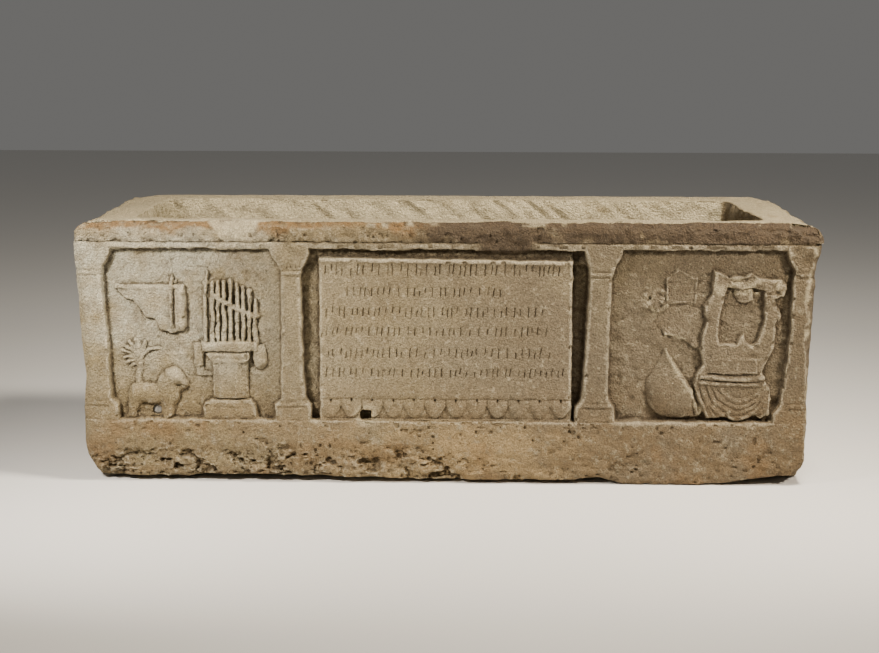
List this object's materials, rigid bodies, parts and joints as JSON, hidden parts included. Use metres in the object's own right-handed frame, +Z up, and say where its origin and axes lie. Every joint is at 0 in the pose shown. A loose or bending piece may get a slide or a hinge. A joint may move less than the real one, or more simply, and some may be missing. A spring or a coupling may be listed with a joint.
{
  "type": "stone sarcophagus",
  "caption": "Open stone trough sarcophagus hollowed from one block, with pilasters, an inscribed plaque and relief figures carved on its front.",
  "frame": {"origin": "on the ground under the middle of the trough's bounding box", "axes": "+X along the front to the viewer's right, +Y to the back, +Z up; the carved front faces -Y"},
  "size_m": [2.13, 0.83, 0.76],
  "materials": {
    "limestone": "matte",
    "lead": "satin"
  },
  "bodies": {
    "root": {"trough": "limestone", "drain_plug": "lead"}
  },
  "joints": []
}
